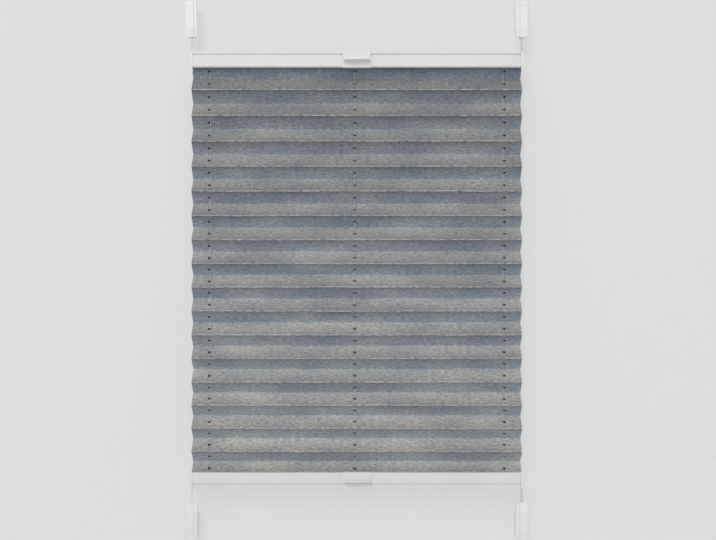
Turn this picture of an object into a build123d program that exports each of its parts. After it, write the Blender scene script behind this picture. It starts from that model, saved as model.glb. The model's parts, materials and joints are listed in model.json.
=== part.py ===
from build123d import *
import math
import os

# A clip-on pleated blind, stretched between four clamps on one window sash.
# Two slotted rails hold a punched cloth that is folded into a zigzag. Three tight cords
# run from the upper clamps through both rails and the cloth to the lower clamps.
# Frame: +X to the right, +Y towards the glass, +Z up, origin at the middle of the blind.
# Sizes are in millimetres. Heights in a rail count from its cloth side, away from the cloth.

# Driving dimensions of the sash that the blind is made for
sash_half_height = 316.7
sash_thickness = 20.0

# Driving dimensions of the rails
rail_setback = 74.3  # from the sash's edge to the cloth side of either rail
rail_body_length = 391.4
rail_depth = 21.0
rail_height = 18.6
rail_ahead = 14.0  # how far a rail's front stands ahead of the sash's face
side_wall = 2.4
outer_wall = 1.3
lip_thickness = 1.3
web_thickness = 1.2
slot_opening = 10.0
cloth_edge_radius = 1.6
outer_edge_radius = 0.6
groove_height = 11.6
groove_slope = 3.2
groove_flat = 1.2
groove_depth = 1.6

# Driving dimensions of the strips that hold the cloth in the rails
strip_width = 13.0
strip_thickness = 1.5
strip_end_gap = 0.4
strip_clearance = 0.15

# Driving dimensions of the pleated cloth
cloth_setback = 1.7  # from a rail's capped end to the cloth's edge
cloth_thickness = 0.35
pleat_count = 17
pleat_depth = 14.0
pleat_taper = 0.114  # the top pleats hang open by this share more than the bottom ones
valley_share = 0.495  # where the rear fold lies, as a share of the pleat's height
fold_above_edge = 4.8  # where the first front fold would lie, past the upper rail's edge
fold_below_edge = 2.3
tab_setback = 0.8
tab_length = 8.4
tab_clearance = 0.05

# Driving dimensions of the punched holes and the cords in them
column_setback = 18.5  # from a rail's end to the outer columns of holes
middle_column = -2.4
hole_width = 4.3
hole_depth = 2.3
hole_sides = 10
cord_diameter = 0.9
cord_sides = 6
cord_to_hole_centre = 1.1
cord_past_rail = 2.7
cord_pair_spacing = 1.3
cord_bend_radius = 4.5
cord_track_radius = 100.0
track_offset = 1.8
track_run = 22.0
low_track = 9.0
track_spacing = 2.6
web_hole_radius = 1.0
cord_play = 0.05

# Driving dimensions of the saddles that turn the cords
saddle_length = 10.0
saddle_front = 3.5
saddle_back = 1.0

# Driving dimensions of the end caps
cap_width = 4.0
cap_edge_radius = 0.5
plug_length = 8.0
plug_clearance = 0.1
cap_slot_width = 3.4
cap_slot_play = 0.25
tab_slot_height = 1.7
lug_width = 2.2
lug_thickness = 2.6
lug_slant = 0.22
lug_lengths = {"top_left": 6.0, "top_right": 3.0, "bottom_left": 0.0, "bottom_right": 1.8}

# Driving dimensions of the handles
handle_width = 33.4
handle_wall = 1.4
handle_lip = 0.7
handle_clearance = 0.1
cloth_side_grip = 4.0
outer_side_grip = 6.0
handle_rib = 0.6
flange_width = 31.4
flange_height = 7.3
flange_thickness = 1.9
flange_reach = 8.5
flange_side_reach = 6.9  # the flange's front edge is bowed, and stands out less at its ends
flange_corner_radius = 2.2
handle_corner_radius = 1.0

# Driving dimensions of the clamps on the sash
clamp_past_rail = 2.95
clamp_width = 16.0
clamp_thickness = 8.5
clamp_reach = 36.8  # from the sash's edge to the clamp's inner end
clamp_overhang = 6.0
clamp_band = 12.4
clamp_bevel = 1.7
clamp_nose_width = 12.0
clamp_nose_length = 11.0
clamp_nose_drop = 2.0
clamp_corner_radius = 2.2
clamp_shoulder_radius = 30.0
clamp_line_setback = 6.2  # from the clamp's outer end to the fine line across its front
clamp_line_width = 0.8
clamp_line_depth = 0.4
pad_thickness = 1.0
pad_width = 14.0
pad_length = 19.0

# Driving dimensions of the sliding hooks behind the sash
sleeve_width = 13.2
sleeve_length = 11.0
edge_gap = 0.3
strap_width = 10.0
strap_thickness = 2.7
strap_clearance = 0.1
strap_engagement = 12.5
sleeve_wall = 1.3
leg_thickness = 2.4
leg_length = 18.0
tooth_pitch = 1.6
tooth_depth = 0.6
tooth_count = 9
grip_rib = 0.4
grip_rib_spacing = 4.0

# Driving dimensions of the tension shoes
shoe_width = 8.8
shoe_thickness = 4.1
shoe_length = 14.6
shoe_proud = 0.6
shoe_clearance = 0.1
shoe_slot_width = 3.2
shoe_slot_height = 1.5
knot_room_width = 5.4
knot_room_height = 2.6
knot_room_length = 5.0
cord_in_shoe = 11.0

# Places that follow from the sizes above
half_opening = sash_half_height - rail_setback
rail_end = rail_body_length / 2
strip_length = rail_body_length - 2 * strip_end_gap
cloth_width = rail_body_length + 2 * (cap_width - cloth_setback)
outer_column = rail_end - column_setback
cord_exit = rail_end + cord_past_rail
clamp_offset = rail_end + clamp_past_rail
flange_front = rail_ahead + handle_clearance + handle_wall + flange_reach
hook_back = sash_thickness + leg_thickness
sash_face = (flange_front - hook_back) / 2
rail_front = sash_face - rail_ahead
rail_back = rail_front + rail_depth
cord_plane = (rail_front + rail_back) / 2
cord_radius = cord_diameter / 2
channel_width = strip_width + 2 * strip_clearance
channel_height = strip_thickness + 2 * strip_clearance
chamber_floor = lip_thickness + channel_height + web_thickness
chamber_ceiling = rail_height - outer_wall
chamber_depth = rail_depth - 2 * side_wall
high_track = low_track + track_spacing
left_drop = -(outer_column - cord_to_hole_centre)
right_drop = outer_column - cord_to_hole_centre
clamp_inner = sash_half_height - clamp_reach
clamp_outer = sash_half_height + clamp_overhang
clamp_front_face = sash_face - clamp_thickness
clamp_back_face = sash_face - pad_thickness

corners = {
    "top_left": (-1, 1),
    "top_right": (1, 1),
    "bottom_left": (-1, -1),
    "bottom_right": (1, -1),
}

os.makedirs("parts", exist_ok=True)


def save(builder, name):
    # Names a finished piece and writes it.
    builder.part.label = name
    export_step(builder.part, f"parts/{name}.step")


def in_corner(solid, side, level):
    # Mirrors a piece made for the top right into another corner.
    if side < 0:
        solid = mirror(solid, about=Plane.YZ)
    if level < 0:
        solid = mirror(solid, about=Plane.XY)
    return solid


def rail_height_at(height):
    # The place on Z of a height in the upper rail.
    return half_opening + height


def oval_outline(width, depth):
    # An oval hole with straight sides, so that a hundred punched holes stay light.
    turns = [2 * math.pi * (i + 0.5) / hole_sides for i in range(hole_sides)]
    return [(width / 2 * math.cos(turn), depth / 2 * math.sin(turn)) for turn in turns]


cord_hole = oval_outline(2 * web_hole_radius, 2 * web_hole_radius)
cord_drops = ((left_drop, cord_plane), (middle_column, cord_plane), (right_drop, cord_plane))


# Rails: one hollow extruded section, with a slot for the cloth and a groove along each side
with BuildPart() as top_rail:
    with BuildSketch(Plane.YZ) as section:
        with Locations((cord_plane, rail_height_at(rail_height / 2))):
            Rectangle(rail_depth, rail_height)
        fillet(section.vertices().group_by(Axis.Y)[0], cloth_edge_radius)
        fillet(section.vertices().group_by(Axis.Y)[-1], outer_edge_radius)
        for face, inward in ((rail_front, 1), (rail_back, -1)):
            with BuildLine():
                Polyline(
                    (face, rail_height_at(groove_height)),
                    (face + inward * groove_depth, rail_height_at(groove_height + groove_slope)),
                    (
                        face + inward * groove_depth,
                        rail_height_at(groove_height + groove_slope + groove_flat),
                    ),
                    (face, rail_height_at(groove_height + groove_slope + groove_flat)),
                    close=True,
                )
            make_face(mode=Mode.SUBTRACT)
        with Locations((cord_plane, rail_height_at((chamber_floor + chamber_ceiling) / 2))):
            Rectangle(chamber_depth, chamber_ceiling - chamber_floor, mode=Mode.SUBTRACT)
        with Locations((cord_plane, rail_height_at(lip_thickness + channel_height / 2))):
            Rectangle(channel_width, channel_height, mode=Mode.SUBTRACT)
        with Locations((cord_plane, rail_height_at(lip_thickness / 2))):
            Rectangle(slot_opening, lip_thickness, mode=Mode.SUBTRACT)
    extrude(amount=rail_body_length / 2, both=True)
    with BuildSketch(Plane.XY.offset(rail_height_at(lip_thickness + channel_height))):
        with Locations(*cord_drops):
            Polygon(*cord_hole)
    extrude(amount=web_thickness, mode=Mode.SUBTRACT)
save(top_rail, "top_rail")

with BuildPart() as bottom_rail:
    mirror(top_rail.part, about=Plane.XY)
save(bottom_rail, "bottom_rail")


# Cloth strips: stiff flat strips that rest on the lips of the slot and carry the cloth's tab
with BuildPart() as top_cloth_strip:
    with BuildSketch(Plane.XY.offset(rail_height_at(lip_thickness + strip_clearance))):
        with Locations((0, cord_plane)):
            Rectangle(strip_length, strip_width)
        with Locations(*cord_drops):
            Polygon(*cord_hole, mode=Mode.SUBTRACT)
    extrude(amount=strip_thickness)
save(top_cloth_strip, "top_cloth_strip")

with BuildPart() as bottom_cloth_strip:
    mirror(top_cloth_strip.part, about=Plane.XY)
save(bottom_cloth_strip, "bottom_cloth_strip")


# Pleated cloth: a zigzag in the YZ plane, with a flat tab at each end under its strip
def thicken(middle_line, thickness):
    # The closed outline of a thin sheet, from its middle line, with mitred folds.
    sides = ([], [])
    for i, point in enumerate(middle_line):
        before = middle_line[max(i - 1, 0)]
        after = middle_line[min(i + 1, len(middle_line) - 1)]
        arriving = (point - before).normalized() if i else (after - point).normalized()
        leaving = (after - point).normalized() if i < len(middle_line) - 1 else arriving
        across = Vector(-(arriving.Y + leaving.Y), arriving.X + leaving.X).normalized()
        square = Vector(-arriving.Y, arriving.X)
        reach = thickness / 2 / across.dot(square)
        sides[0].append(point + across * reach)
        sides[1].append(point - across * reach)
    return sides[0] + sides[1][::-1]


pleated_height = 2 * half_opening + fold_above_edge + fold_below_edge
mean_pitch = pleated_height / pleat_count
pitches = [
    mean_pitch * (1 + pleat_taper * (0.5 - i / (pleat_count - 1))) for i in range(pleat_count)
]
front_folds = [half_opening + fold_above_edge]
for pitch in pitches:
    front_folds.append(front_folds[-1] - pitch)
rear_folds = [front_folds[i] - valley_share * pitches[i] for i in range(pleat_count)]

tab_level = rail_height_at(lip_thickness + strip_clearance - tab_clearance - cloth_thickness / 2)
tab_front = cord_plane - slot_opening / 2 + tab_setback
pleat_front = cord_plane - pleat_depth / 2
pleat_back = cord_plane + pleat_depth / 2
cloth_line = [Vector(tab_front + tab_length, tab_level), Vector(tab_front, tab_level)]
for i in range(pleat_count):
    cloth_line.append(Vector(pleat_back, rear_folds[i]))
    if i < pleat_count - 1:
        cloth_line.append(Vector(pleat_front, front_folds[i + 1]))
cloth_line.append(Vector(tab_front, -tab_level))
cloth_line.append(Vector(tab_front + tab_length, -tab_level))

with BuildPart() as pleated_cloth:
    with BuildSketch(Plane.YZ):
        with BuildLine():
            Polyline(*thicken(cloth_line, cloth_thickness), close=True)
        make_face()
    extrude(amount=cloth_width / 2, both=True)
    with BuildSketch():
        with Locations(
            (-outer_column, cord_plane), (middle_column, cord_plane), (outer_column, cord_plane)
        ):
            Polygon(*oval_outline(hole_width, hole_depth))
    extrude(amount=half_opening + rail_height, both=True, mode=Mode.SUBTRACT)
save(pleated_cloth, "pleated_cloth")


# Cords: straight runs joined by arcs, each from an upper tension shoe to the lower one
def cord_points(exit_x, drop_x, offset, track):
    # The route of one cord, with its lower half the mirror of its upper half.
    side = math.copysign(1, exit_x)
    level = rail_height_at(track)
    upper = [
        (exit_x, cord_plane, clamp_inner + cord_in_shoe),
        (exit_x, cord_plane, level),
        (exit_x - side * track_run, cord_plane + offset, level),
        (drop_x + side * track_run, cord_plane + offset, level),
        (drop_x, cord_plane, level),
    ]
    return upper + [(x, y, -z) for x, y, z in reversed(upper)]


cord_radii = [cord_bend_radius, cord_track_radius, cord_track_radius, cord_bend_radius]
cord_radii = cord_radii + cord_radii[::-1]
near_exit = cord_exit - cord_pair_spacing / 2
far_exit = cord_exit + cord_pair_spacing / 2
cord_routes = {
    "cord_left_to_right": cord_points(-cord_exit, right_drop, track_offset, high_track),
    "cord_right_to_left": cord_points(near_exit, left_drop, -track_offset, high_track),
    "cord_right_to_middle": cord_points(far_exit, middle_column, track_offset, low_track),
}
for cord_name, route in cord_routes.items():
    with BuildPart() as cord:
        with BuildLine() as path:
            FilletPolyline(*route, radius=cord_radii)
        with BuildSketch(Plane(origin=path.wire() @ 0, z_dir=path.wire() % 0)) as cord_section:
            RegularPolygon(cord_radius, cord_sides)
        sweep()
    save(cord, cord_name)
    length = path.wire().length
    share = cord.part.volume / (cord_section.sketch.area * length)
    print(cord_name, "length", round(length, 1), "volume share", round(share, 4))
    print("  radii", cord_radii)


# Cord saddles: blocks on the rail's web with a rounded shoulder that turns a cord downwards
def make_saddle(drop_x, side, track, name):
    top = track - cord_radius - cord_play
    near = drop_x + side * (cord_radius + cord_play)
    shoulder = cord_bend_radius - cord_radius - cord_play
    with BuildPart() as saddle:
        with BuildSketch(Plane.XZ.offset(-(cord_plane + saddle_back))) as profile:
            with Locations(
                (near + side * saddle_length / 2, rail_height_at((chamber_floor + top) / 2))
            ):
                Rectangle(saddle_length, top - chamber_floor)
            upper = profile.vertices().group_by(Axis.Y)[-1].sort_by(Axis.X)
            fillet(upper[0 if side > 0 else -1], shoulder)
        extrude(amount=saddle_front + saddle_back)
    save(saddle, f"cord_saddle_top_{name}")
    with BuildPart() as lower_saddle:
        mirror(saddle.part, about=Plane.XY)
    save(lower_saddle, f"cord_saddle_bottom_{name}")


make_saddle(left_drop, 1, high_track, "left")
make_saddle(middle_column, 1, low_track, "middle")
make_saddle(right_drop, -1, high_track, "right")


# End caps: a plate with the rail's outline, a plug in its chamber and an open slot for the cords
with BuildPart() as cap_pattern:
    with BuildSketch(Plane.YZ.offset(rail_end)) as outline:
        with Locations((cord_plane, rail_height_at(rail_height / 2))):
            Rectangle(rail_depth, rail_height)
        fillet(outline.vertices().group_by(Axis.Y)[0], cloth_edge_radius)
        fillet(outline.vertices().group_by(Axis.Y)[-1], outer_edge_radius)
    extrude(amount=cap_width)
    chamfer(cap_pattern.faces().sort_by(Axis.X)[-1].edges(), cap_edge_radius)
    with BuildSketch(Plane.YZ.offset(rail_end)):
        with Locations((cord_plane, rail_height_at((chamber_floor + chamber_ceiling) / 2))):
            Rectangle(
                chamber_depth - 2 * plug_clearance,
                chamber_ceiling - chamber_floor - 2 * plug_clearance,
            )
    extrude(amount=-plug_length)
    slot_floor = rail_height_at(low_track - cord_radius - cap_slot_play)
    slot_top = rail_height_at(rail_height)
    slot_end = rail_end + cap_width
    slot_start = rail_end - plug_length
    with Locations(
        ((slot_start + slot_end) / 2, cord_plane, (slot_floor + slot_top) / 2),
    ):
        Box(slot_end - slot_start, cap_slot_width, slot_top - slot_floor, mode=Mode.SUBTRACT)
    tab_slot_end = cloth_width / 2 + cap_slot_play
    with Locations(
        ((rail_end + tab_slot_end) / 2, cord_plane, rail_height_at(tab_slot_height / 2)),
    ):
        Box(tab_slot_end - rail_end, slot_opening, tab_slot_height, mode=Mode.SUBTRACT)

for corner, (side, level) in corners.items():
    cap_solid = in_corner(cap_pattern.part, side, level)
    lug_length = lug_lengths[corner]
    with BuildPart() as end_cap:
        add(cap_solid)
        if lug_length > 0:
            lug_outer = side * (rail_end + cap_width - cap_edge_radius)
            lug_inner = lug_outer - side * lug_width
            slant = side * lug_slant * lug_length
            base = level * rail_height_at(cloth_edge_radius)
            tip = level * rail_height_at(-lug_length)
            with BuildSketch(Plane.XZ.offset(-(rail_front + lug_thickness + cap_edge_radius))):
                with BuildLine():
                    Polyline(
                        (lug_outer, base),
                        (lug_inner, base),
                        (lug_inner - slant, tip),
                        (lug_outer - slant, tip),
                        close=True,
                    )
                make_face()
            extrude(amount=lug_thickness)
    save(end_cap, f"end_cap_{corner}")


# Handles: a clip round the rail's front with a finger flange that has a bowed front edge
with BuildPart() as top_handle:
    inner_face = rail_front - handle_clearance
    outer_face = inner_face - handle_wall
    lip_inner = -handle_clearance
    lip_outer = -handle_clearance - handle_lip
    far_inner = rail_height + handle_clearance
    far_outer = far_inner + handle_lip
    rib_start = groove_height + groove_slope - handle_rib
    rib_end = groove_height + groove_slope + groove_flat - handle_clearance
    with BuildSketch(Plane.YZ) as clip:
        with BuildLine():
            Polyline(
                (outer_face, rail_height_at(lip_outer)),
                (inner_face + cloth_side_grip, rail_height_at(lip_outer)),
                (inner_face + cloth_side_grip, rail_height_at(lip_inner)),
                (inner_face, rail_height_at(lip_inner)),
                (inner_face, rail_height_at(rib_start)),
                (inner_face + handle_rib, rail_height_at(rib_end)),
                (inner_face, rail_height_at(rib_end)),
                (inner_face, rail_height_at(far_inner)),
                (inner_face + outer_side_grip, rail_height_at(far_inner)),
                (inner_face + outer_side_grip, rail_height_at(far_outer)),
                (outer_face, rail_height_at(far_outer)),
                close=True,
            )
        make_face()
        fillet(clip.vertices().group_by(Axis.X)[0], handle_corner_radius)
    extrude(amount=handle_width / 2, both=True)
    with BuildSketch(Plane.XY.offset(rail_height_at(flange_height))) as flange:
        with BuildLine():
            Line((-flange_width / 2, outer_face), (flange_width / 2, outer_face))
            Line(
                (flange_width / 2, outer_face),
                (flange_width / 2, outer_face - flange_side_reach),
            )
            ThreePointArc(
                (flange_width / 2, outer_face - flange_side_reach),
                (0, outer_face - flange_reach),
                (-flange_width / 2, outer_face - flange_side_reach),
            )
            Line(
                (-flange_width / 2, outer_face - flange_side_reach),
                (-flange_width / 2, outer_face),
            )
        make_face()
        fillet(flange.vertices().group_by(Axis.Y)[0], flange_corner_radius)
    extrude(amount=flange_thickness)
save(top_handle, "top_handle")

with BuildPart() as bottom_handle:
    mirror(top_handle.part, about=Plane.XY)
save(bottom_handle, "bottom_handle")


# Clamp fronts: a bar with bevelled sides, a tapered nose for the shoe and a sleeve for the hook
pocket_width = shoe_width + 2 * shoe_clearance
pocket_front = cord_plane - shoe_thickness / 2 - shoe_clearance
strap_inner = sash_half_height + edge_gap + sleeve_wall + strap_clearance
strap_outer = strap_inner + strap_thickness
with BuildPart() as clamp_pattern:
    with BuildSketch(Plane.XY.offset(clamp_inner)):
        with BuildLine():
            Polyline(
                (clamp_offset - clamp_width / 2, clamp_back_face),
                (clamp_offset - clamp_width / 2, clamp_front_face + clamp_bevel),
                (clamp_offset - clamp_band / 2, clamp_front_face),
                (clamp_offset + clamp_band / 2, clamp_front_face),
                (clamp_offset + clamp_width / 2, clamp_front_face + clamp_bevel),
                (clamp_offset + clamp_width / 2, clamp_back_face),
                close=True,
            )
        make_face()
    extrude(amount=clamp_outer - clamp_inner)
    with BuildSketch(Plane.XZ.offset(-clamp_back_face)) as plan:
        nose_end = clamp_inner + clamp_nose_length
        with BuildLine():
            Polyline(
                (clamp_offset - clamp_nose_width / 2, clamp_inner),
                (clamp_offset + clamp_nose_width / 2, clamp_inner),
                (clamp_offset + clamp_width / 2, nose_end),
                (clamp_offset + clamp_width / 2, clamp_outer),
                (clamp_offset - clamp_width / 2, clamp_outer),
                (clamp_offset - clamp_width / 2, nose_end),
                close=True,
            )
        make_face()
        fillet(plan.vertices().group_by(Axis.Y)[1], clamp_shoulder_radius)
        fillet(plan.vertices().group_by(Axis.Y)[0], clamp_corner_radius)
        fillet(plan.vertices().group_by(Axis.Y)[-1], clamp_corner_radius)
    extrude(amount=clamp_thickness - pad_thickness, mode=Mode.INTERSECT)
    with BuildSketch(Plane.YZ.offset(clamp_offset - clamp_width / 2)):
        with BuildLine():
            Polyline(
                (clamp_front_face, clamp_inner),
                (clamp_front_face + clamp_nose_drop, clamp_inner),
                (clamp_front_face, clamp_inner + clamp_nose_length),
                close=True,
            )
        make_face()
    extrude(amount=clamp_width, mode=Mode.SUBTRACT)
    with Locations(
        (
            clamp_offset,
            clamp_front_face + clamp_line_depth / 2,
            clamp_outer - clamp_line_setback,
        ),
    ):
        Box(clamp_width, clamp_line_depth, clamp_line_width, mode=Mode.SUBTRACT)
    sleeve_inner = sash_half_height + edge_gap
    with Locations(
        (
            clamp_offset,
            (clamp_back_face + sash_face + sleeve_length) / 2,
            (sleeve_inner + clamp_outer) / 2,
        ),
    ):
        Box(
            sleeve_width,
            sash_face + sleeve_length - clamp_back_face,
            clamp_outer - sleeve_inner,
        )
    strap_room_front = clamp_front_face + clamp_bevel - sleeve_wall / 2
    with Locations(
        (
            clamp_offset,
            (strap_room_front + sash_face + sleeve_length) / 2,
            (strap_inner + strap_outer) / 2,
        ),
    ):
        Box(
            strap_width + 2 * strap_clearance,
            sash_face + sleeve_length - strap_room_front,
            strap_thickness + 2 * strap_clearance,
            mode=Mode.SUBTRACT,
        )
    with Locations(
        (
            clamp_offset,
            (pocket_front + clamp_back_face) / 2,
            clamp_inner + (shoe_length - shoe_proud) / 2,
        ),
    ):
        Box(
            pocket_width,
            clamp_back_face - pocket_front,
            shoe_length - shoe_proud,
            mode=Mode.SUBTRACT,
        )

# Foam pads: glued to the clamp's back, against the sash's face
with BuildPart() as pad_pattern:
    with Locations(
        (
            clamp_offset,
            (clamp_back_face + sash_face) / 2,
            sash_half_height - pad_length / 2 - edge_gap,
        ),
    ):
        Box(pad_width, pad_thickness, pad_length)

# Tension shoes: blocks in the clamp's nose, with a slot for the cords and room for their knots
with BuildPart() as shoe_pattern:
    shoe_start = clamp_inner - shoe_proud
    with Locations((clamp_offset, cord_plane, shoe_start + shoe_length / 2)):
        Box(shoe_width, shoe_thickness, shoe_length)
    chamfer(shoe_pattern.edges().group_by(Axis.Z)[0], shoe_proud)
    with BuildSketch(Plane.XY.offset(shoe_start)):
        with Locations((cord_exit, cord_plane)):
            SlotOverall(shoe_slot_width, shoe_slot_height)
    extrude(amount=shoe_length, mode=Mode.SUBTRACT)
    with Locations((clamp_offset, cord_plane, shoe_start + shoe_length - knot_room_length / 2)):
        Box(knot_room_width, knot_room_height, knot_room_length, mode=Mode.SUBTRACT)

# Sliding hooks: a notched strap in the clamp's sleeve and a leg behind the sash
with BuildPart() as hook_pattern:
    strap_start = sash_face + sleeve_length - strap_engagement
    leg_face = sash_face + sash_thickness + grip_rib
    leg_end = sash_half_height - leg_length
    teeth_start = leg_face - tooth_count * tooth_pitch - tooth_pitch
    with BuildSketch(Plane.YZ.offset(clamp_offset - strap_width / 2)) as hook_side:
        with BuildLine():
            Polyline(
                (strap_start, strap_inner),
                (leg_face, strap_inner),
                (leg_face, leg_end),
                (sash_face + hook_back, leg_end),
                (sash_face + hook_back, strap_outer),
                (strap_start, strap_outer),
                close=True,
            )
        make_face()
        rear_corners = hook_side.vertices().group_by(Axis.X)[-1]
        fillet(rear_corners, leg_thickness / 3)
        for i in range(tooth_count):
            tooth = teeth_start + i * tooth_pitch
            with BuildLine():
                Polyline(
                    (tooth, strap_outer),
                    (tooth + tooth_pitch, strap_outer),
                    (tooth + tooth_pitch, strap_outer - tooth_depth),
                    close=True,
                )
            make_face(mode=Mode.SUBTRACT)
        for i in range(3):
            rib = leg_end + grip_rib_spacing * (i + 0.5)
            with BuildLine():
                Polyline(
                    (leg_face, rib - grip_rib),
                    (leg_face - grip_rib, rib),
                    (leg_face, rib + grip_rib),
                    close=True,
                )
            make_face()
    extrude(amount=strap_width)

for corner, (side, level) in corners.items():
    for pattern, piece in (
        (clamp_pattern, "clamp_front"),
        (pad_pattern, "clamp_pad"),
        (shoe_pattern, "tension_shoe"),
        (hook_pattern, "clamp_hook"),
    ):
        corner_solid = in_corner(pattern.part, side, level)
        with BuildPart() as corner_piece:
            add(corner_solid)
        save(corner_piece, f"{piece}_{corner}")
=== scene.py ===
# %% [markdown]
# A pleated blind
#
# The blind is a punched, folded cloth between two white rails. Tight cords run through both
# rails and the cloth, and four small clamps hold their ends. The solids come from the CAD
# frame, and this lesson adds the cloth, the cords, the finishes, the light and the camera.

# %% Load the fixed frame
import json
import math

import bpy
import numpy as np
from mathutils import Matrix, Vector


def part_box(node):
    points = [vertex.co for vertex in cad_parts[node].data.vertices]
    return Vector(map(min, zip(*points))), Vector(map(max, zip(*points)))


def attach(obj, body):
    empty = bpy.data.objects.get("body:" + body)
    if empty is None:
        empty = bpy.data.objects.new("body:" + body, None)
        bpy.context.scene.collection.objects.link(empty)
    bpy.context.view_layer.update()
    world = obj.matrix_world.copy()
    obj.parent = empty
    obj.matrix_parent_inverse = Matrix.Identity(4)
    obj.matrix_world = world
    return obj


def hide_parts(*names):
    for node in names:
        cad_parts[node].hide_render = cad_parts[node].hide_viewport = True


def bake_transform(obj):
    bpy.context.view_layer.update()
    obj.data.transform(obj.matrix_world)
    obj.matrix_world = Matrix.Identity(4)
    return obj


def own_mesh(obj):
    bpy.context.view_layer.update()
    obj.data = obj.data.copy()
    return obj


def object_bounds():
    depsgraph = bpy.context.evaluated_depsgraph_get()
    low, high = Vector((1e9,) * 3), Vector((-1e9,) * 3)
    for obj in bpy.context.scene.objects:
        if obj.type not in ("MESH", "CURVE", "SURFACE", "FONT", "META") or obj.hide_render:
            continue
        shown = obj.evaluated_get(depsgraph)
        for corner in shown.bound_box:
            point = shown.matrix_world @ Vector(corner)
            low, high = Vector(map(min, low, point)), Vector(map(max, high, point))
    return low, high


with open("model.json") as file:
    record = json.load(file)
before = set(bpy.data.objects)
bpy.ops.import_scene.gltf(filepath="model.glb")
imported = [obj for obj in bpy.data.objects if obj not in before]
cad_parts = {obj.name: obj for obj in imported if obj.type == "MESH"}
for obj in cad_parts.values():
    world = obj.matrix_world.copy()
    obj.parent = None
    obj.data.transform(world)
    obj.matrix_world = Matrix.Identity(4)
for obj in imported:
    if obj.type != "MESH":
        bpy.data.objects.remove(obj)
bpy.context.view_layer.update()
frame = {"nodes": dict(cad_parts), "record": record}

bpy.ops.object.select_all(action="DESELECT")

# %% [markdown]
# The camera first
#
# The photograph was taken straight from the front. Its focal length follows from the size of
# the cloth's folds, which stand 14 mm apart in depth, and its distance from the 1.194 mm
# that one pixel covers at the rails. A camera can be aimed with a Track To constraint, but
# plain numbers for place and turn keep it where it was measured.

# %% Place the camera
PIXEL = 0.001194
FOCAL_PIXELS = 1013.0
IMAGE_WIDTH, SENSOR_WIDTH = 716, 36.0
CAMERA_X, CAMERA_Z = 0.0015, -0.0001

rail_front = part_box("top_rail")[0].y
camera_data = bpy.data.cameras.new("front_camera")
camera_data.sensor_width = SENSOR_WIDTH
camera_data.lens = FOCAL_PIXELS / IMAGE_WIDTH * SENSOR_WIDTH
camera = bpy.data.objects.new("front_camera", camera_data)
bpy.context.scene.collection.objects.link(camera)
place = Matrix.Translation((CAMERA_X, rail_front - FOCAL_PIXELS * PIXEL, CAMERA_Z))
camera.matrix_world = place @ Matrix.Rotation(math.radians(90), 4, "X")
bpy.context.scene.camera = camera
bpy.context.scene.view_settings.view_transform = "Standard"
print("camera", [round(c, 4) for c in camera.location], "lens", round(camera_data.lens, 2))

# %% [markdown]
# How the cloth is folded
#
# The real cloth is one flat sheet that a machine punches and creases. Seen from the side it
# is a zigzag: the front folds stand at one depth and the rear folds 14 mm behind them. The
# zigzag could be drawn by hand, but the levels follow a rule: the cords hold the upper
# pleats a little more open than the lower ones, so one formula places all 34 faces. The
# first eight front folds also hang up to 2 mm lower, because the cloth settles there.

# %% Fold levels
PLEATS = 17
TAPER = 0.114  # how much more the first pleat opens than the last
HIDDEN_TOP, HIDDEN_BOTTOM = 0.0048, 0.0023  # how far the end pleats reach into the rails
SETTLE, SETTLED_PLEATS = 0.0020, 9
VALLEY_SHARE, VALLEY_DRIFT = 0.495, 0.001  # where a rear fold is between its front folds

half_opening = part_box("top_rail")[0].z
mean_pitch = (2 * half_opening + HIDDEN_TOP + HIDDEN_BOTTOM) / PLEATS
front_folds = [half_opening + HIDDEN_TOP]
for i in range(PLEATS):
    pitch = mean_pitch * (1 + TAPER * (0.5 - i / (PLEATS - 1)))
    front_folds.append(front_folds[-1] - pitch)
for i in range(1, SETTLED_PLEATS):
    front_folds[i] -= SETTLE * math.sin(math.pi * i / SETTLED_PLEATS)
rear_folds = []
for i in range(PLEATS):
    share = VALLEY_SHARE + VALLEY_DRIFT * i
    rear_folds.append(front_folds[i] + share * (front_folds[i + 1] - front_folds[i]))
print("mean pleat", round(mean_pitch * 1000, 2), "mm")

# %% [markdown]
# The cloth from the side
#
# Both ends of the cloth are flat tabs that lie in the rails' slots. A modeller could leave
# them out, as they can't be seen, but then the cloth would end in the air when the rails are
# looked at from below. The side view is a list of corners from the top tab to the bottom one.

# %% Corners of the side view
FOLD_DEPTH = 0.014
TAB_FORWARD, TAB_LEVEL, TAB_LENGTH = 0.0042, 0.243625, 0.0084

CORD_Y = (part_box("top_rail")[0].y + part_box("top_rail")[1].y) / 2
fold_front, fold_rear = CORD_Y - FOLD_DEPTH / 2, CORD_Y + FOLD_DEPTH / 2
tab_y = CORD_Y - TAB_FORWARD
corners = [(tab_y + TAB_LENGTH, TAB_LEVEL), (tab_y, TAB_LEVEL)]
for i in range(PLEATS):
    corners.append((fold_rear, rear_folds[i]))
    if i < PLEATS - 1:
        corners.append((fold_front, front_folds[i + 1]))
corners += [(tab_y, -TAB_LEVEL), (tab_y + TAB_LENGTH, -TAB_LEVEL)]
print("folds in the side view:", len(corners) - 2)

# %% [markdown]
# Soft and sharp folds
#
# A crease in real cloth is never a perfect corner. The front folds are pressed sharp, with a
# radius of half a millimetre, and the rear folds are softer. A Bevel modifier could round
# them, but it would also cut into the punched holes, so the side view itself gets small
# arcs, and its running length tells where each point of the flat sheet ends up.

# %% Round the side view
SHARP_RADIUS, SOFT_RADIUS = 0.0005, 0.0018
ARC_STEPS = 8


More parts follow.
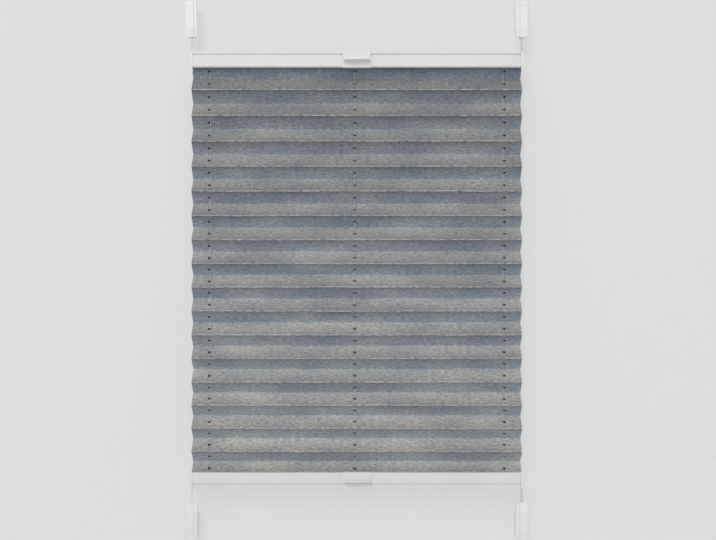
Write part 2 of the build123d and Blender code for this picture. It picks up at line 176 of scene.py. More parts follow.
def rounded_line(points, radii):
    # Replaces each inner corner by a small arc and returns the points and the arcs' middles.
    line, middles = [np.array(points[0])], [0]
    for i in range(1, len(points) - 1):
        before, here, after = (np.array(p) for p in points[i - 1:i + 2])
        arrive = (here - before) / np.linalg.norm(here - before)
        leave = (after - here) / np.linalg.norm(after - here)
        half_turn = math.acos(np.clip(arrive @ leave, -1, 1)) / 2
        inward = (leave - arrive) / np.linalg.norm(leave - arrive)
        centre = here + inward * radii[i] / math.cos(half_turn)
        for k in range(ARC_STEPS + 1):
            turn = half_turn * (2 * k / ARC_STEPS - 1)
            line.append(centre - radii[i] * (inward * math.cos(turn) - (arrive + leave)
                        / np.linalg.norm(arrive + leave) * math.sin(turn)))
            if k == ARC_STEPS // 2:
                middles.append(len(line) - 1)
    line.append(np.array(points[-1]))
    middles.append(len(line) - 1)
    return np.array(line), middles


radii = [SHARP_RADIUS if y < CORD_Y else SOFT_RADIUS for y, z in corners]
side_line, fold_points = rounded_line(corners, radii)
run = np.concatenate([[0], np.cumsum(np.linalg.norm(np.diff(side_line, axis=0), axis=1))])
fold_runs = run[fold_points]
SHEET_LENGTH = float(run[-1])
SHEET_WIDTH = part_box("pleated_cloth")[1].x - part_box("pleated_cloth")[0].x
print("flat sheet", round(SHEET_WIDTH, 4), "by", round(SHEET_LENGTH, 4), "m")

# %% [markdown]
# The columns of the sheet
#
# The cords pass through three columns of holes. Round each hole the sheet's grid leaves a
# square of 8 mm open, which rings of faces fill later. Boolean cuts would give the same
# holes with many thin triangles, and those shade badly on soft cloth.

# %% Lay out the columns
HOLE_X = (-0.1772, -0.0024, 0.1772)
PATCH, CELLS = 0.004, 6  # half the open square's side, and its cells along a side
STEPS_TO_HOLE, STEPS_TO_EDGE = (8, 56, 58), 8
edge = SHEET_WIDTH / 2


def spread(start, end, count):
    # Even steps from start up to, but without, end.
    return [start + (end - start) * k / count for k in range(count)]


columns, hole_columns = [], []
reach = -edge
for hole_x, count in zip(HOLE_X, STEPS_TO_HOLE):
    columns += spread(reach, hole_x - PATCH, count)
    hole_columns.append(len(columns))
    columns += spread(hole_x - PATCH, hole_x + PATCH, CELLS)
    reach = hole_x + PATCH
columns += spread(reach, edge, STEPS_TO_EDGE) + [edge]
print(len(columns), "columns, holes at", hole_columns)

# %% [markdown]
# The rows of the sheet
#
# A sheet that will be folded needs rows of vertices close together at each crease and fewer
# between them. Subdividing evenly would need ten times the faces for the same crisp folds.
# Each face has its holes where the cord's level line crosses it.

# %% Lay out the rows
NEAR_FOLD = [0.0, 0.00035, 0.0008, 0.0016]  # the rows' distances from a fold

rows, hole_rows = [], []
for face in range(len(fold_runs) - 1):
    start, end = fold_runs[face], fold_runs[face + 1]
    inside = (run >= start) & (run <= end)
    depth_order = np.argsort(side_line[inside, 0])
    hole_run = float(np.interp(CORD_Y, side_line[inside, 0][depth_order],
                               run[inside][depth_order]))
    is_tab = face in (0, len(fold_runs) - 2)
    near = [0.0] if is_tab else NEAR_FOLD
    rows += [start + step for step in near[:-1]]
    rows += spread(start + near[-1], hole_run - PATCH, 1 if is_tab else 2)
    hole_rows.append(len(rows))
    rows += spread(hole_run - PATCH, hole_run + PATCH, CELLS)
    rows += spread(hole_run + PATCH, end - near[-1], 1 if is_tab else 2)
    rows += [end - step for step in near[:0:-1]]
rows.append(SHEET_LENGTH)
print(len(rows), "rows, holes in", len(hole_rows), "faces")

# %% [markdown]
# Punch the flat sheet
#
# The machine punches three holes through every face while the sheet is flat. Each hole is an
# oval, wide enough for the cord to run through at a slant. Its rim and the square round it
# are joined by three rings of faces, so the mesh stays even right up to the rim.

# %% Build the flat sheet
HOLE_WIDTH, HOLE_DEPTH = 0.0043, 0.0023
RINGS, CROWDING = 3, 0.8  # a power under 1 lets the rings crowd towards the rim
PROBE = 0.001

punched = {(r, c) for r0 in hole_rows for c0 in hole_columns
           for r in range(r0, r0 + CELLS) for c in range(c0, c0 + CELLS)}


def flat_sheet(first_row, last_row):
    # Returns the vertices (x, run along the sheet) and the faces between two rows.
    flat, faces, number = [], [], {}

    def vertex(r, c):
        if (r, c) not in number:
            number[(r, c)] = len(flat)
            flat.append((columns[c], rows[r]))
        return number[(r, c)]

    for r in range(first_row, last_row):
        for c in range(len(columns) - 1):
            if (r, c) not in punched:
                faces.append((vertex(r, c), vertex(r + 1, c),
                              vertex(r + 1, c + 1), vertex(r, c + 1)))
    for r0 in hole_rows:
        if not first_row <= r0 < last_row:
            continue
        middle_run = (rows[r0] + rows[r0 + CELLS]) / 2
        # The hole is punched level, so on a steep face it is longer along the sheet.
        slope = abs(np.interp(middle_run + PROBE, run, side_line[:, 0])
                    - np.interp(middle_run - PROBE, run, side_line[:, 0])) / (2 * PROBE)
        for c0 in hole_columns:
            middle_x = (columns[c0] + columns[c0 + CELLS]) / 2
            square = [(r0 + k, c0) for k in range(CELLS)]
            square += [(r0 + CELLS, c0 + k) for k in range(CELLS)]
            square += [(r0 + CELLS - k, c0 + CELLS) for k in range(CELLS)]
            square += [(r0, c0 + CELLS - k) for k in range(CELLS)]
            border = [vertex(r, c) for r, c in square]
            outer = border
            for ring in range(1, RINGS + 1):
                share = (ring / RINGS) ** CROWDING
                inner = []
                for x, along in [flat[v] for v in border]:
                    angle = math.atan2(along - middle_run, x - middle_x)
                    hole = (middle_x + HOLE_WIDTH / 2 * math.cos(angle),
                            middle_run + HOLE_DEPTH / slope / 2 * math.sin(angle))
                    inner.append(len(flat))
                    flat.append((x + (hole[0] - x) * share, along + (hole[1] - along) * share))
                for k in range(len(border)):
                    after = (k + 1) % len(border)
                    faces.append((outer[k], outer[after], inner[after], inner[k]))
                outer = inner
    return np.array(flat), faces


print("cells left open for holes:", len(punched))

# %% [markdown]
# Where the sheet is parted
#
# When a rail is moved, its pleats close up, and the tab in its slot goes along unchanged. In
# the model the cloth is therefore four pieces: two tabs, and two pleated halves that meet in
# a rear fold at mid height. They share the rows of vertices at which they are parted, so no
# gap shows. One piece that closes as a whole would drag its lower half up with the top rail.

# %% Choose the parts
MIDDLE_PLEAT = 8
MIDDLE_FOLD = 2 + 2 * MIDDLE_PLEAT  # after the tab's two ends, each pleat has two folds


def row_at(place):
    # The number of the row that is nearest to a place along the sheet.
    return int(np.argmin(abs(np.array(rows) - place)))


cuts = [0, row_at(fold_runs[1] + NEAR_FOLD[-1]), row_at(fold_runs[MIDDLE_FOLD]),
        row_at(fold_runs[-2] - NEAR_FOLD[-1]), len(rows) - 1]
sheet_parts = dict(zip(("top_tab", "upper", "lower", "bottom_tab"), zip(cuts[:-1], cuts[1:])))
print("rows of the sheet's parts:", sheet_parts)

# %% [markdown]
# Crumples
#
# Pleated cloth of this kind has a crushed surface: small dents, longer in the direction of
# the creases, and faces that bulge a little. A Displace modifier could do it, but the folds
# have to stay crisp and the ends have to stay in the rails' slots. So a soft random field
# moves each point along the cloth's normal, and a mask calms it near the rails.

# %% Random fields
MARGIN_X, MARGIN_RUN = 0.3, 0.1  # keep all places on the lattice above zero
DENT, BULGE, SAG, SWAY = 0.00013, 0.00022, 0.00030, 0.00025
CALM_REACH, NUDGE = 0.006, 0.0002


def soft_field(x, y, step_x, step_y, seed):
    # Smooth random values from -1 to 1 on a lattice with steps of step_x by step_y metres.
    # The lattice covers the whole sheet, so its parts get the same values where they meet.
    rng = np.random.default_rng(seed)
    u, v = (x + MARGIN_X) / step_x, (y + MARGIN_RUN) / step_y
    lattice = rng.uniform(-1, 1, (int((edge + MARGIN_X) / step_x) + 3,
                                  int((SHEET_LENGTH + MARGIN_RUN) / step_y) + 3))
    i, j = u.astype(int), v.astype(int)
    fu, fv = u - i, v - j
    fu, fv = fu * fu * (3 - 2 * fu), fv * fv * (3 - 2 * fv)
    low = lattice[i, j] * (1 - fu) + lattice[i + 1, j] * fu
    high = lattice[i, j + 1] * (1 - fu) + lattice[i + 1, j + 1] * fu
    return low * (1 - fv) + high * fv


def fold_sheet(flat):
    # Bends the flat points onto the zigzag and crumples them.
    x, along = flat[:, 0], flat[:, 1]
    y, z = (np.interp(along, run, side_line[:, k]) for k in (0, 1))
    dy, dz = (np.interp(along + NUDGE, run, side_line[:, k])
              - np.interp(along - NUDGE, run, side_line[:, k]) for k in (0, 1))
    size = np.hypot(dy, dz)
    calm = np.clip((fold_runs[-2] - along) / CALM_REACH, 0, 1)
    calm = calm * np.clip((along - fold_runs[1]) / CALM_REACH, 0, 1)
    crumple = soft_field(x, along, 0.0072, 0.0030, 11) * DENT
    crumple += soft_field(x, along, 0.022, 0.0085, 12) * BULGE
    y += crumple * calm * dz / size
    z -= crumple * calm * dy / size
    z += soft_field(x, along, 0.030, 0.025, 13) * SAG * calm
    y += soft_field(x, along, 0.045, 0.025, 14) * SWAY * calm
    return np.column_stack([x, y, z])


print("crumples reach", round((DENT + BULGE) * 1000, 2), "mm from the plain zigzag")

# %% [markdown]
# What the finish has to know
#
# The cloth's colour changes from fold to fold, so the material has to know which side of a
# pleat a point is on and how far it is from a front fold. A painted image could hold that,
# but two attributes stay exact at any size. They are worked out along the flat sheet.

# %% Sides and distances along the sheet
SOFT_CHANGE, SHARP_CHANGE = 0.0016, 0.0002

front_runs = fold_runs[1:-1:2]
side_runs, side_values = [0.0], [0.0]
for k in range(1, len(fold_runs) - 1):
    is_rear = k % 2 == 0
    width = SOFT_CHANGE if is_rear else SHARP_CHANGE
    side_runs += [fold_runs[k] - width, fold_runs[k] + width]
    side_values += [0.0, 1.0] if is_rear else [1.0, 0.0]
print("front folds:", len(front_runs))

# %% [markdown]
# Fold the sheet's parts
#
# Each part starts flat, is bent onto the zigzag, and gets its thickness from a Solidify
# modifier. Extruding the faces would give the same, but the modifier keeps both skins evenly
# apart round the folds. The flat coordinates are kept as a UV map, so that the finish follows
# the cloth.

# %% Make the cloth
CLOTH_THICKNESS = 0.00035
SMOOTH_ANGLE = math.radians(50)


def cloth_piece(part):
    flat, faces = flat_sheet(*sheet_parts[part])
    mesh = bpy.data.meshes.new(f"pleated_cloth_{part}")
    mesh.from_pydata(fold_sheet(flat).tolist(), [], faces)
    cloth = bpy.data.objects.new(f"pleated_cloth_{part}", mesh)
    bpy.context.scene.collection.objects.link(cloth)
    uv = mesh.uv_layers.new(name="flat_sheet")
    corner_vertices = np.zeros(len(mesh.loops), int)
    mesh.loops.foreach_get("vertex_index", corner_vertices)
    uv.data.foreach_set("uv", flat[corner_vertices].ravel())
    distance = flat[:, 1][:, None] - front_runs[None, :]
    millimetres = abs(distance).min(axis=1) * 1000
    for name, values in (("pleat_side", np.interp(flat[:, 1], side_runs, side_values)),
                         ("from_fold", millimetres)):
        attribute = mesh.attributes.new(name, "FLOAT", "POINT")
        attribute.data.foreach_set("value", values.astype(np.float32))
    bpy.ops.object.select_all(action="DESELECT")
    cloth.select_set(True)
    bpy.context.view_layer.objects.active = cloth
    solidify = cloth.modifiers.new("thickness", "SOLIDIFY")
    solidify.thickness = CLOTH_THICKNESS
    solidify.offset = 0
    bpy.ops.object.modifier_apply(modifier="thickness")
    bpy.ops.object.shade_smooth_by_angle(angle=SMOOTH_ANGLE)
    cloth.select_set(False)
    print(cloth.name, len(cloth.data.polygons), "faces")
    return cloth


cloths = {part: cloth_piece(part) for part in sheet_parts}

# %% [markdown]
# Tight cords
#
# Each cord starts in a knot in an upper clamp, turns into the rail, turns again over a
# saddle, drops through a column of holes, and does the same below. The blind keeps it tight
# over its whole length, so its runs are straight and only its turns are curved. A smooth
# NURBS line with a few points at each turn gives both, with a round bevel for its thickness.

# %% One cord piece
CORD_RADIUS = 0.0003


def cord_tube(name, points):
    # A round tube along a smooth line through the points.
    curve = bpy.data.curves.new(name, "CURVE")
    curve.dimensions = "3D"
    curve.bevel_depth = CORD_RADIUS
    curve.bevel_resolution = 2
    curve.resolution_u = 6
    curve.use_fill_caps = True
    spline = curve.splines.new("NURBS")
    spline.points.add(len(points) - 1)
    for place, point in zip(spline.points, points):
        place.co = (*point, 1)
    spline.order_u = 3
    spline.use_endpoint_u = True
    tube = bpy.data.objects.new(name, curve)
    bpy.context.scene.collection.objects.link(tube)
    bpy.ops.object.select_all(action="DESELECT")
    tube.select_set(True)
    bpy.context.view_layer.objects.active = tube
    bpy.ops.object.convert(target="MESH")
    bpy.ops.object.shade_smooth()
    tube = bpy.context.view_layer.objects.active
    tube.select_set(False)
    return tube


print("a cord is", CORD_RADIUS * 2000, "mm thick")

# %% [markdown]
# The cords' routes
#
# One cord comes from the left clamps and two from the right ones, and each takes another
# column of holes, as such blinds are strung to keep their rails level. In the rails they run
# beside and above each other. A cord could be one long tube, but its runs in the rails move
# with them and its drops get shorter, so each is made of four pieces.

# %% Make the cords
SHOE_LEVEL, ABOVE_RAIL = 0.2909, 0.275
TURN, BEND, STRAIGHT = 0.005, 0.014, 0.024  # distances from a turn, along the rail
MIDDLE_LEVEL = rear_folds[MIDDLE_PLEAT]


def rail_run(exit_x, drop_x, offset, level):
    # From the clamp's knot down into the rail, along it, and down to the column of holes.
    outer, inner = math.copysign(1, exit_x), math.copysign(1, exit_x - drop_x)
    return [
        (exit_x, CORD_Y, SHOE_LEVEL), (exit_x, CORD_Y, ABOVE_RAIL),
        (exit_x, CORD_Y, level + TURN), (exit_x, CORD_Y, level),
        (exit_x - outer * TURN, CORD_Y, level),
        (exit_x - outer * BEND, CORD_Y + offset * 0.5, level),
        (exit_x - outer * STRAIGHT, CORD_Y + offset, level),
        (drop_x + inner * STRAIGHT, CORD_Y + offset, level),
        (drop_x + inner * BEND, CORD_Y + offset * 0.5, level),
        (drop_x + inner * TURN, CORD_Y, level), (drop_x, CORD_Y, level),
        (drop_x, CORD_Y, level - TURN),
    ]


cord_routes = {  # where it leaves the rail and drops, its offset in depth, and its level
    "cord_left_to_right": (-0.1984, 0.1761, 0.0018, 0.2540),
    "cord_right_to_left": (0.19775, -0.1761, -0.0018, 0.2540),
    "cord_right_to_middle": (0.19905, -0.0024, 0.0018, 0.2514),
}
cord_pieces = []
for cord, (exit_x, drop_x, offset, level) in cord_routes.items():
    upper = rail_run(exit_x, drop_x, offset, level)
    lower = [(x, y, -z) for x, y, z in upper]
    top_end, bottom_end = upper[-1][2], lower[-1][2]
    middle = (drop_x, CORD_Y, MIDDLE_LEVEL)
    for part, points in (("top_run", upper), ("upper_drop", [upper[-1], middle]),
                         ("lower_drop", [middle, lower[-1]]), ("bottom_run", lower)):
        tube = cord_tube(f"{cord}_{part}", points)
        cord_pieces.append((tube, cord, part, top_end, bottom_end))
print("cord pieces:", len(cord_pieces))

# %% [markdown]
# Helpers for finishes
#
# A finish is a small tree of shader nodes. Such a tree can be drawn in the Shader Editor, but
# in a script it takes many lines. The helpers below add a node, join two sockets and read a
# texture in metres, so that each recipe further down stays short.

# %% Shader nodes
def finish(name, colour, roughness):
    # A new material with its plain colour and roughness on the shader itself.
    material = bpy.data.materials.new(name)
    material.use_nodes = True
    shader = material.node_tree.nodes["Principled BSDF"]
    shader.inputs["Base Color"].default_value = (*colour, 1)
    shader.inputs["Roughness"].default_value = roughness
    return material, material.node_tree, shader


def node(tree, kind, **settings):
    made = tree.nodes.new(kind)
    for key, value in settings.items():
        setattr(made, key, value)
    return made


def plug(tree, value, socket):
    # Links a socket, or writes a number or a colour into it.
    if hasattr(value, "links"):
        tree.links.new(value, socket)
    elif isinstance(value, (int, float)):
        socket.default_value = value
    else:
        socket.default_value = (*value, 1)


def mixed(tree, share, first, second, kind="MIX"):
    # Mixes two colours or sockets by a share from 0 to 1.
    mix = node(tree, "ShaderNodeMix", data_type="RGBA", blend_type=kind)
    for name, value in (("Factor", share), ("A", first), ("B", second)):
        plug(tree, value, [s for s in mix.inputs if s.name == name and s.enabled][0])
    return [s for s in mix.outputs if s.enabled][0]


def times(tree, colour, tint):
    return mixed(tree, 1.0, colour, tint, "MULTIPLY")


print("node helpers ready")

# %% [markdown]
# Reading patterns
#
# Noise gives values near one half, and a finish needs them from dark to pale. A Color Ramp
# would do, but a Map Range node also takes a smooth step and plain numbers.

# %% Patterns and relief
def noise(tree, coordinates, scale, detail=2.0, stretch=(1, 1, 1)):
    # Noise with so many waves per metre, squeezed along the axes by stretch.
    mapping = node(tree, "ShaderNodeMapping")
    mapping.inputs["Scale"].default_value = stretch
    texture = node(tree, "ShaderNodeTexNoise")
    texture.inputs["Scale"].default_value = scale
    texture.inputs["Detail"].default_value = detail
    tree.links.new(coordinates, mapping.inputs["Vector"])
    tree.links.new(mapping.outputs["Vector"], texture.inputs["Vector"])
    return texture.outputs["Fac"]


def remap(tree, value, low, high, to_low=0.0, to_high=1.0, smooth=False):
    ranged = node(tree, "ShaderNodeMapRange")
    ranged.interpolation_type = "SMOOTHSTEP" if smooth else "LINEAR"
    for k, number in zip((1, 2, 3, 4), (low, high, to_low, to_high)):
        ranged.inputs[k].default_value = number
    tree.links.new(value, ranged.inputs[0])
    return ranged.outputs[0]


def math_node(tree, operation, first, second=0.0):
    made = node(tree, "ShaderNodeMath", operation=operation)
    for socket, value in zip(made.inputs, (first, second)):
        plug(tree, value, socket)
    return made.outputs[0]


def bump(tree, shader, height, distance, strength):
    # Fine relief: distance is the height in metres between black and white.
    bumps = node(tree, "ShaderNodeBump")
    bumps.inputs["Strength"].default_value = strength
    bumps.inputs["Distance"].default_value = distance
    tree.links.new(height, bumps.inputs["Height"])
    tree.links.new(bumps.outputs["Normal"], shader.inputs["Normal"])


def place_on(tree):
    # The place in the frame, in metres, which keeps a pattern still on its piece.
    return node(tree, "ShaderNodeTexCoord").outputs["Object"]


print("pattern helpers ready")

# %% [markdown]
# The cloth's tones
#
# The cloth is a grey crushed polyester, and its colour here also holds painted light and
# shade. The upper face of each pleat, which faces down, is painted as a shaded blue grey, and
# the lower one, which faces up, as a lit warm grey. Both carry painted shade that darkens them
# towards the front folds, and both pale towards the cloth's lower end. The pleat next to the
# upper rail is painted cooler and darker, as shade under the rail. One average grey would be
# easier, but then the pleats would look like flat stripes.

# %% Plain tones of the cloth
TOP, BOTTOM = 0, 1
# Painted shade and light: the shaded upper faces and the lit lower faces, at the top and the
# bottom.
SHADED_FACE_AT_FOLD = ((0.103, 0.108, 0.114), (0.228, 0.237, 0.247))
SHADED_FACE_AWAY = ((0.304, 0.330, 0.358), (0.405, 0.431, 0.455))
LIT_FACE_AWAY = ((0.278, 0.279, 0.281), (0.462, 0.458, 0.447))
LIT_FACE_AT_FOLD = ((0.208, 0.205, 0.202), (0.293, 0.284, 0.273))
MIDDLE_TINTS = ((0.965, 1.0, 1.035), (0.99, 1.0, 1.01))
# Painted shade under the upper rail: one tint for the upper faces and one for the lower.
RAIL_SHADE_TINTS = ((0.96, 1.09, 1.21), (0.845, 0.875, 0.885))
RAIL_SHADE_REACH = (0.046, 0.030)  # where the darker pleat starts and is fully dark
FACE_MM = (0.4, 19.6)  # a face's extent, as its distance from the front fold


def cloth_tone_and_shade(tree, along, side, fold):
    # The colour with painted shade and light, without its pattern, from the place on the sheet
    # and pleat.
    pale = remap(tree, along, 0.0, SHEET_LENGTH)

    def paling(tones):
        return mixed(tree, pale, tones[TOP], tones[BOTTOM])

    # Painted shade across each face, darker towards the front fold.
    climb = math_node(tree, "POWER", remap(tree, fold, *FACE_MM), 0.6)
    fall = math_node(tree, "POWER", remap(tree, fold, *reversed(FACE_MM)), 1.6)
    blue = mixed(tree, climb, paling(SHADED_FACE_AT_FOLD), paling(SHADED_FACE_AWAY))
    warm = mixed(tree, fall, paling(LIT_FACE_AWAY), paling(LIT_FACE_AT_FOLD))
    colour = mixed(tree, side, blue, warm)
    hump = math_node(tree, "MULTIPLY", pale, math_node(tree, "SUBTRACT", 1.0, pale))
    colour = mixed(tree, remap(tree, hump, 0.0, 0.25), colour,
                   times(tree, colour, mixed(tree, side, *MIDDLE_TINTS)))
    return colour


print("the cloth's tones: 4 at each end")

# %% [markdown]
# The cloth's pattern
#
# Short streaks, threads, blotches and wide clouds lie over each other, because the crushed
# weave is uneven at every size. The pressed front folds get a thin pale line, which is partly
# wear and partly a painted highlight where the fold catches the light. One image could hold it
# all, but layers of noise stay sharp at any distance. They read the flat UV map, so the
# pattern stays with the cloth when the pleats close.

# %% Cloth material
PATTERNS = {  # waves a metre, detail, stretch, range of the noise, dark and pale tint
    "streaks": (420, 3.0, 0.45, (0.3, 0.7), (0.72, 0.73, 0.75), (1.29, 1.28, 1.26)),
    "threads": (1000, 1.0, 0.4, (0.3, 0.7), (0.83, 0.83, 0.83), (1.17, 1.17, 1.17)),
    "blotches": (75, 2.0, 0.5, (0.3, 0.7), (0.92, 0.94, 0.97), (1.09, 1.07, 1.04)),
    "clouds": (22, 1.0, 0.5, (0.35, 0.65), (0.87, 0.89, 0.91), (1.13, 1.11, 1.09)),
}
# The pale fold line is partly wear and partly a painted highlight.
FOLD_WEAR_AND_HIGHLIGHT = (0.76, 0.75, 0.74)


def cloth_finish():
    material, tree, shader = finish("crushed_grey_cloth", (0.2, 0.21, 0.22), 0.82)
    sheet_uv = node(tree, "ShaderNodeUVMap", uv_map="flat_sheet").outputs[0]
    separate = node(tree, "ShaderNodeSeparateXYZ")
    tree.links.new(sheet_uv, separate.inputs[0])
    along = separate.outputs["Y"]
    side = node(tree, "ShaderNodeAttribute", attribute_name="pleat_side").outputs["Fac"]
    fold = node(tree, "ShaderNodeAttribute", attribute_name="from_fold").outputs["Fac"]
    colour = cloth_tone_and_shade(tree, along, side, fold)
    made = {}
    for name, (waves, detail, stretch, limits, dark, light) in PATTERNS.items():
        made[name] = noise(tree, sheet_uv, waves, detail, (stretch, 1.0, 1.0))
        tint = mixed(tree, remap(tree, made[name], *limits), dark, light)
        colour = times(tree, colour, tint)
    # Painted shade on the pleat next to the upper rail.
    rail_shade = remap(tree, along, *RAIL_SHADE_REACH, smooth=True)
    colour = mixed(tree, rail_shade, colour,
                   times(tree, colour, mixed(tree, side, *RAIL_SHADE_TINTS)))
    # Painted highlight and wear: the lit face just above each front fold, and the fold itself,
    # are paled.
    above = math_node(tree, "MULTIPLY", side, remap(tree, fold, 1.5, 0.2, 0.0, 0.7, True))
    line = math_node(tree, "MAXIMUM", above, remap(tree, fold, 0.5, 0.1, smooth=True))
    wear_and_highlight = remap(tree, made["streaks"], 0.35, 0.6, 0.12, 0.50)
    colour = mixed(tree, math_node(tree, "MULTIPLY", line, wear_and_highlight), colour, FOLD_WEAR_AND_HIGHLIGHT)
    tree.links.new(colour, shader.inputs["Base Color"])
    shader.inputs["Sheen Weight"].default_value = 0.05
    shader.inputs["Specular IOR Level"].default_value = 0.25
    relief = mixed(tree, 0.4, made["streaks"], made["threads"])
    bump(tree, shader, relief, 0.00025, 0.8)
    return material


cloth_material = cloth_finish()
print(cloth_material.name, len(cloth_material.node_tree.nodes), "nodes")

# %% [markdown]
# White coats and white plastic
#
# The rails are aluminium with a white powder coat, which looks smooth from afar and has a
# very fine orange peel close up. The caps, handles and clamps are moulded plastic with a
# finer, satin skin. Both could be one white, but then the seams between them would vanish.
# A thin grey line of painted shade lies in the seam between each rail and its caps.

# %% White materials
SEAM_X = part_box("top_rail")[1].x
# The grey of the painted shade in the seams, and how strongly it shows.
SEAM_SHADE, SEAM_SHADE_SHARE = (0.42, 0.42, 0.42), 0.45
WHITES = {  # colour, roughness, waves of the skin's grain a metre, and its height
    "white_powder_coat": ((0.745, 0.749, 0.751), 0.6, 1400, 0.00002),
    "white_cap_plastic": ((0.775, 0.775, 0.770), 0.5, 2600, 0.00001),
    "white_clamp_plastic": ((0.825, 0.826, 0.827), 0.45, 2600, 0.00001),
    "white_shoe_plastic": ((0.760, 0.760, 0.755), 0.6, 1800, 0.00002),
    "milky_strip_plastic": ((0.740, 0.742, 0.735), 0.55, 1200, 0.00002),
}


def white_finish(name, colour, roughness, grain, depth):
    material, tree, shader = finish(name, colour, roughness)
    place = place_on(tree)
    clouds = noise(tree, place, 28)
    tone = mixed(tree, remap(tree, clouds, 0.3, 0.7), tuple(c * 0.975 for c in colour),
                 tuple(min(c * 1.02, 1) for c in colour))
    separate = node(tree, "ShaderNodeSeparateXYZ")
    tree.links.new(place, separate.inputs[0])
    across = math_node(tree, "ABSOLUTE", separate.outputs["X"])
    from_seam = math_node(tree, "ABSOLUTE", math_node(tree, "SUBTRACT", across, SEAM_X))
    # Painted shade: a thin grey line at the seam between each rail and its caps.
    seam = remap(tree, from_seam, 0.0006, 0.0002, 0.0, SEAM_SHADE_SHARE, True)
    tree.links.new(mixed(tree, seam, tone, SEAM_SHADE), shader.inputs["Base Color"])
    skin = noise(tree, place, grain)
    tree.links.new(remap(tree, skin, 0.3, 0.7, roughness - 0.05, roughness + 0.06),
                   shader.inputs["Roughness"])
    bump(tree, shader, skin, depth, 0.5)
    return material


whites = {name: white_finish(name, *recipe) for name, recipe in WHITES.items()}
print("white finishes:", len(whites))

# %% [markdown]
# Foam and cord
#
# The pads are closed-cell foam: tiny round cells that a Voronoi texture draws well. The cord
# is a braid of grey polyester, so fine slanting bands run round it. The braid's strands
# could be modelled, but at this thickness the bands and a little relief do the same.

# %% Foam and cord materials
def foam_finish():
    material, tree, shader = finish("grey_pad_foam", (0.55, 0.55, 0.545), 0.9)
    cells = node(tree, "ShaderNodeTexVoronoi")
    cells.inputs["Scale"].default_value = 1500
    tree.links.new(place_on(tree), cells.inputs["Vector"])
    tone = mixed(tree, remap(tree, cells.outputs["Distance"], 0.1, 0.6),
                 (0.60, 0.60, 0.59), (0.42, 0.42, 0.415))
    tree.links.new(tone, shader.inputs["Base Color"])
    bump(tree, shader, cells.outputs["Distance"], 0.00015, 0.7)
    return material


def braid_finish():
    material, tree, shader = finish("grey_braided_cord", (0.50, 0.51, 0.52), 0.8)
    bands = node(tree, "ShaderNodeTexWave", bands_direction="DIAGONAL")
    bands.inputs["Scale"].default_value = 420
    bands.inputs["Distortion"].default_value = 1.5
    tree.links.new(place_on(tree), bands.inputs["Vector"])
    tone = mixed(tree, bands.outputs["Fac"], (0.40, 0.41, 0.42), (0.56, 0.57, 0.58))
    tree.links.new(tone, shader.inputs["Base Color"])
    bump(tree, shader, bands.outputs["Fac"], 0.00012, 0.7)
    return material


foam, braid = foam_finish(), braid_finish()
print(foam.name, braid.name)

# %% [markdown]
# Put the finishes on
#
# Every solid of the frame keeps its shape and only takes a material. The record names a slot
# for each one, so the finish follows from the slot's name. Choosing by hand, piece by piece,
# would be slower and easier to get wrong.

# %% Assign materials
finishes = {
    "rail_white": whites["white_powder_coat"], "cap_white": whites["white_cap_plastic"],
    "handle_white": whites["white_cap_plastic"], "clamp_white": whites["white_clamp_plastic"],
    "shoe_white": whites["white_shoe_plastic"], "strip_white": whites["milky_strip_plastic"],
    "pad_foam": foam, "pleated_cloth": cloth_material, "cord_grey": braid,
}
slots = {s["node"]: s["material_slot"] for s in frame["record"]["subparts"]}
for name, solid in frame["nodes"].items():
    solid.data.materials.clear()
    solid.data.materials.append(finishes[slots[name]])
print("solids with a finish:", len(slots))

# %% [markdown]
# Tie the cloth to the frame
#
# Each half of the cloth is tied to the body that holds the clamps and the cloth, with a mesh
# of its own. The tabs sit in the rails' slots and ride with them.

for cloth in cloths.values():
    cloth.data.materials.append(cloth_material)
    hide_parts("pleated_cloth")
for half, level, cut, outer_end in (("upper", "top", cuts[1], 0.0),
                                    ("lower", "bottom", cuts[3], SHEET_LENGTH)):
    cloth, tab = cloths[half], cloths[f"{level}_tab"]
    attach(tab, f"{level}_rail")
    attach(cloth, "clamps_and_cloth")
    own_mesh(cloth)
print("cloth pieces tied:", len(cloths))

# %% [markdown]
# Tie the cords to the frame
#
# The runs in the rails get their place baked into their meshes, and the drops are tied to the
# body that holds the clamps and the cloth, each with a mesh of its own.

for piece, solid, part, top_end, bottom_end in cord_pieces:
    piece.data.materials.clear()
    piece.data.materials.append(braid)
    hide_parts(solid)
    level, sign, end = (("top", 1, top_end) if part in ("top_run", "upper_drop")
                        else ("bottom", -1, bottom_end))
    if part.endswith("run"):
        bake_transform(piece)
    else:
        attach(piece, "clamps_and_cloth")
        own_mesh(piece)
print("cord pieces tied:", len(cord_pieces))

# %% [markdown]
# Floor and backdrop
#
# The blind hangs in front of a pale wall and above a pale floor. The wall partly shows its
# own colour, so the blind's shadow on it stays soft. More lamps could soften it too, but they
# would also pale the cloth. Lamps behind the wall shine through it, and it can't be seen from
# its back, so that the blind can be looked at from the rear as well.

# %% Backdrop materials
OWN_COLOUR = 0.73


def blended_shader(tree, share, first, second):
    # Blends two shaders by a share from 0 to 1, given as a socket.
    mix = node(tree, "ShaderNodeMixShader")
    for socket, value in zip(mix.inputs, (share, first, second)):
        tree.links.new(value, socket)
    return mix.outputs[0]


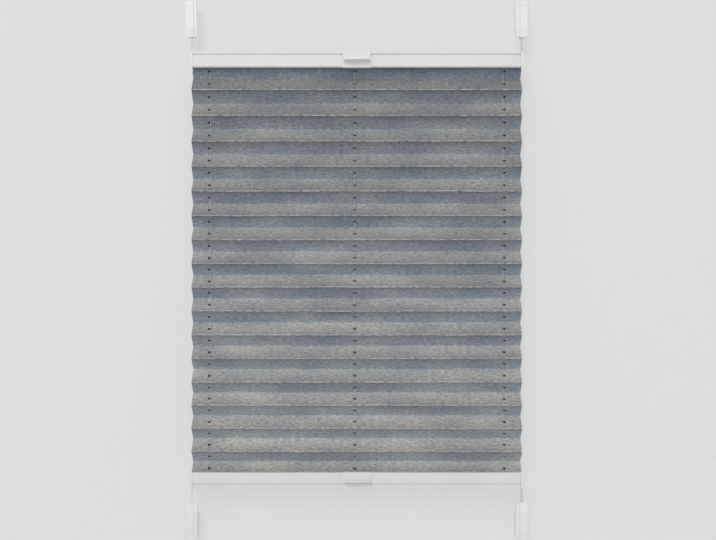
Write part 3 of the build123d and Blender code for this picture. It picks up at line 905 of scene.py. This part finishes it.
def stage_finish(name, colour, one_sided, own_light=0.0):
    # own_light is the share of the colour that shows to the eye without any lamp.
    material, tree, shader = finish(name, (colour,) * 3, 0.9)
    shader.inputs["Specular IOR Level"].default_value = 0.0
    surface = shader.outputs[0]
    path = node(tree, "ShaderNodeLightPath").outputs
    if own_light:
        seen = math_node(tree, "MAXIMUM", path["Is Camera Ray"], path["Is Glossy Ray"])
        seen = math_node(tree, "MAXIMUM", seen, path["Is Transmission Ray"])
        glow = node(tree, "ShaderNodeEmission")
        glow.inputs["Color"].default_value = (OWN_COLOUR,) * 3 + (1,)
        surface = blended_shader(tree, math_node(tree, "MULTIPLY", seen, own_light),
                                 surface, glow.outputs[0])
    if one_sided:
        clear = node(tree, "ShaderNodeBsdfTransparent").outputs[0]
        back = node(tree, "ShaderNodeNewGeometry").outputs["Backfacing"]
        either = math_node(tree, "MAXIMUM", back, path["Is Shadow Ray"])
        surface = blended_shader(tree, either, surface, clear)
    tree.links.new(surface, tree.nodes["Material Output"].inputs["Surface"])
    return material


print("backdrop helpers ready")

# %% [markdown]
# The planes of the stage
#
# Three planes are enough: the wall, the floor, and a dark pane right behind the cloth. The
# pane is painted shade: it stands for the shade behind the cloth and keeps the punched holes
# dark. Painting the holes dark on the cloth would be simpler, but they are real openings, and
# from the rear they should let the light through.

# %% Wall, floor and pane
WALL_GAP, PANE_GAP = 0.001, 0.0003
WALL_SIZE, FLOOR_SIZE, FLOOR_LEVEL = 8.0, 10.0, -0.36
UPRIGHT = (math.radians(90), 0, 0)
wall_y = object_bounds()[1][1] + WALL_GAP


def stage_plane(name, width, height, place, turn, material):
    bpy.ops.object.select_all(action="DESELECT")
    bpy.ops.mesh.primitive_plane_add(size=1, location=place, rotation=turn)
    plane = bpy.context.view_layer.objects.active
    plane.name = name
    plane.scale = (width, height, 1)
    bpy.ops.object.transform_apply(location=False, rotation=False, scale=True)
    plane.data.materials.append(material)
    plane.select_set(False)


stage_plane("back_wall", WALL_SIZE, WALL_SIZE, (0, wall_y, WALL_SIZE / 2 + FLOOR_LEVEL),
            UPRIGHT, stage_finish("pale_wall", 0.80, True, 0.72))
stage_plane("floor", FLOOR_SIZE, FLOOR_SIZE, (0, 0, FLOOR_LEVEL), (0, 0, 0),
            stage_finish("pale_floor", 0.80, False))
# The dark pane is painted shade, standing for the shade behind the cloth.
stage_plane("shade_pane", 0.368, 0.512, (0, wall_y - PANE_GAP, 0), UPRIGHT,
            stage_finish("shade_pane", 0.05, True))
print("wall at y", round(wall_y, 4))

# %% [markdown]
# Light
#
# The photograph has soft light from high in front and a little from the left: the finger
# flanges throw a soft shadow downwards, and nothing else does. A bare sun would draw that
# shadow too hard. One tall lamp gives it, the world fills in from all around, and a lamp
# behind the wall lights the rear for the other views.

# %% Lamps and world
def area_lamp(name, place, size, power, colour=(1, 1, 1)):
    # A rectangular lamp that points at the middle of the blind.
    data = bpy.data.lights.new(name, "AREA")
    data.shape = "RECTANGLE"
    data.size, data.size_y = size
    data.energy = power
    data.color = colour
    lamp = bpy.data.objects.new(name, data)
    bpy.context.scene.collection.objects.link(lamp)
    lamp.location = place
    lamp.rotation_euler = (-Vector(place)).to_track_quat("-Z", "Y").to_euler()
    return lamp


world = bpy.data.worlds.new("soft_room")
bpy.context.scene.world = world
world.use_nodes = True
background = world.node_tree.nodes["Background"]
background.inputs["Color"].default_value = (0.93, 0.965, 1.0, 1)
background.inputs["Strength"].default_value = 0.55
lamps = [area_lamp("key_lamp", (-0.60, -3.0, 2.2), (1.3, 1.9), 58, (1.0, 0.985, 0.965)),
         area_lamp("rear_lamp", (0.6, 1.6, 1.2), (1.2, 1.2), 14)]
print("lamps:", len(lamps))
